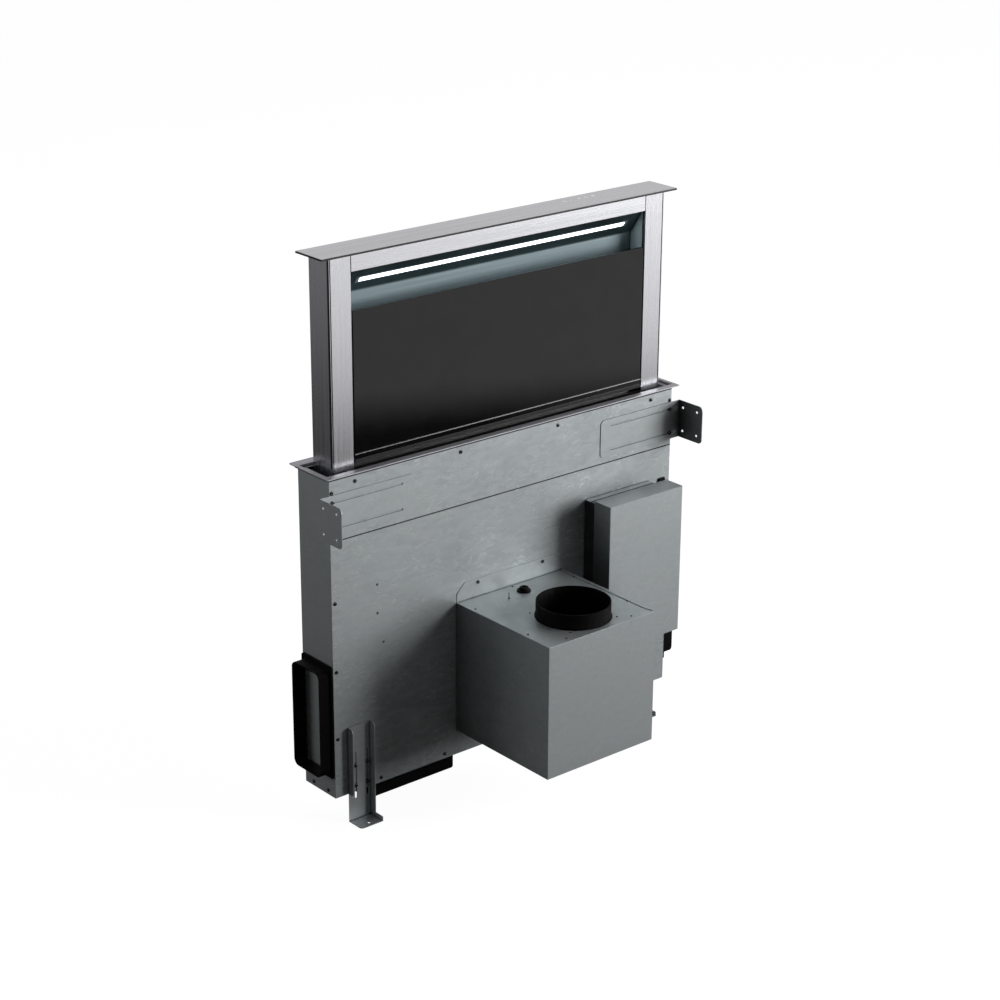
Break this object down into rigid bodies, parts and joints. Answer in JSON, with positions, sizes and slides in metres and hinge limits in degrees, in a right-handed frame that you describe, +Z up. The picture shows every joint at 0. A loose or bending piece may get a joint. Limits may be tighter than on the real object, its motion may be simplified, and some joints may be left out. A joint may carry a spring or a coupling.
{
  "type": "telescopic downdraft vent",
  "caption": "Pop-up downdraft extractor: a glass-fronted riser lifts out of a slim sheet casing with a front blower box, control box, duct collars, brackets and feet.",
  "frame": {"origin": "centre of the worktop flange, on the plane where the flange rests on the worktop", "axes": "+X to the right along the worktop, seen from the glass and blower side; -Y towards that front side; +Z up. The riser is at rest fully raised."},
  "size_m": [0.936, 0.389, 1.14],
  "materials": {
    "zinc_sheet": "galvanised sheet, satin with a faint spangle",
    "brushed_steel": "fine brushed stainless steel",
    "black_glass": "opaque black glass, polished",
    "filter_metal": "satin aluminium",
    "trim_metal": "bright anodised aluminium",
    "black_plastic": "moulded, matt black",
    "white_plastic": "moulded, off-white",
    "lamp_lens": "opal lens",
    "foam_seal": "soft closed-cell foam",
    "machined_steel": "turned and milled steel",
    "screw_steel": "zinc-plated screws",
    "motor_metal": "painted motor housing",
    "board_green": "circuit board"
  },
  "bodies": {
    "casing": {"worktop_flange": "brushed_steel", "flange_seal": "foam_seal", "casing_front_upper": "zinc_sheet", "casing_front_lower": "zinc_sheet", "casing_back": "zinc_sheet", "casing_left_side": "zinc_sheet", "casing_right_side": "zinc_sheet", "casing_bottom": "zinc_sheet", "left_duct_collar": "black_plastic", "right_duct_collar": "black_plastic", "bottom_duct_collar": "black_plastic", "duct_blanking_plates": "zinc_sheet", "guide_rails": "zinc_sheet", "lift_racks": "white_plastic", "blower_back_plate": "zinc_sheet", "blower_box_shell": "zinc_sheet", "blower_box_top": "zinc_sheet", "outlet_spigot": "black_plastic", "flap_pin": "machined_steel", "cable_gland": "black_plastic", "blower_scroll": "black_plastic", "inlet_ring": "black_plastic", "blower_motor": "motor_metal", "control_box_base": "black_plastic", "control_box_cover": "zinc_sheet", "control_board": "board_green", "transformer": "machined_steel", "casing_screws": "screw_steel", "clamp_screws": "screw_steel"},
    "riser": {"top_plate": "brushed_steel", "touch_module": "black_plastic", "header_rail": "brushed_steel", "left_stile": "brushed_steel", "right_stile": "brushed_steel", "left_riser_side": "zinc_sheet", "right_riser_side": "zinc_sheet", "riser_back": "zinc_sheet", "riser_bottom_frame": "zinc_sheet", "riser_front_lower": "zinc_sheet", "intake_canopy": "zinc_sheet", "led_housing": "filter_metal", "led_diffuser": "lamp_lens", "grease_filter_left": "filter_metal", "grease_filter_middle": "filter_metal", "grease_filter_right": "filter_metal", "guide_runners": "white_plastic", "lift_motor": "motor_metal", "shaft_bearings": "black_plastic", "pivot_pins": "machined_steel"},
    "glass_door": {"glass_panel": "black_glass", "glass_carrier": "trim_metal"},
    "lift_shaft_set": {"lift_shaft": "machined_steel", "lift_pinions": "white_plastic"},
    "blower_wheel": {"impeller": "black_plastic"},
    "left_flap": {"left_damper_flap": "zinc_sheet"},
    "right_flap": {"right_damper_flap": "zinc_sheet"},
    "left_foot_body": {"left_foot": "zinc_sheet"},
    "right_foot_body": {"right_foot": "zinc_sheet"},
    "left_bracket_body": {"left_side_bracket": "zinc_sheet"},
    "right_bracket_body": {"right_side_bracket": "zinc_sheet"}
  },
  "joints": [
    {"name": "riser_lift", "type": "slide", "parent": "casing", "child": "riser", "axis": [0, 0, 1], "range_m": [-0.413, 0]},
    {"name": "lift_shaft_spin", "type": "hinge", "parent": "riser", "child": "lift_shaft_set", "pos_m": [0, 0.019, -0.202], "axis": [1, 0, 0], "range_deg": [-1, 1316]},
    {"name": "glass_tilt", "type": "hinge", "parent": "riser", "child": "glass_door", "pos_m": [0, -0.024, 0.016], "axis": [1, 0, 0], "range_deg": [0, 35]},
    {"name": "left_flap_hinge", "type": "hinge", "parent": "casing", "child": "left_flap", "pos_m": [0.003, -0.24, -0.369], "axis": [0, 1, 0], "range_deg": [0, 75]},
    {"name": "right_flap_hinge", "type": "hinge", "parent": "casing", "child": "right_flap", "pos_m": [0.003, -0.24, -0.369], "axis": [0, -1, 0], "range_deg": [0, 75]},
    {"name": "blower_wheel_spin", "type": "hinge", "parent": "casing", "child": "blower_wheel", "pos_m": [-0.033, -0.24, -0.49], "axis": [0, 1, 0], "continuous": true},
    {"name": "left_foot_slide", "type": "slide", "parent": "casing", "child": "left_foot_body", "axis": [0, 0, 1], "range_m": [-0.025, 0.025]},
    {"name": "right_foot_slide", "type": "slide", "parent": "casing", "child": "right_foot_body", "axis": [0, 0, 1], "range_m": [-0.025, 0.025]},
    {"name": "left_bracket_slide", "type": "slide", "parent": "casing", "child": "left_bracket_body", "axis": [-1, 0, 0], "range_m": [0, 0.125]},
    {"name": "right_bracket_slide", "type": "slide", "parent": "casing", "child": "right_bracket_body", "axis": [1, 0, 0], "range_m": [0, 0.125]}
  ],
  "couplings": [
    {"joint": "lift_shaft_spin", "follows": "riser_lift", "rad_per_m": -55.556}
  ]
}
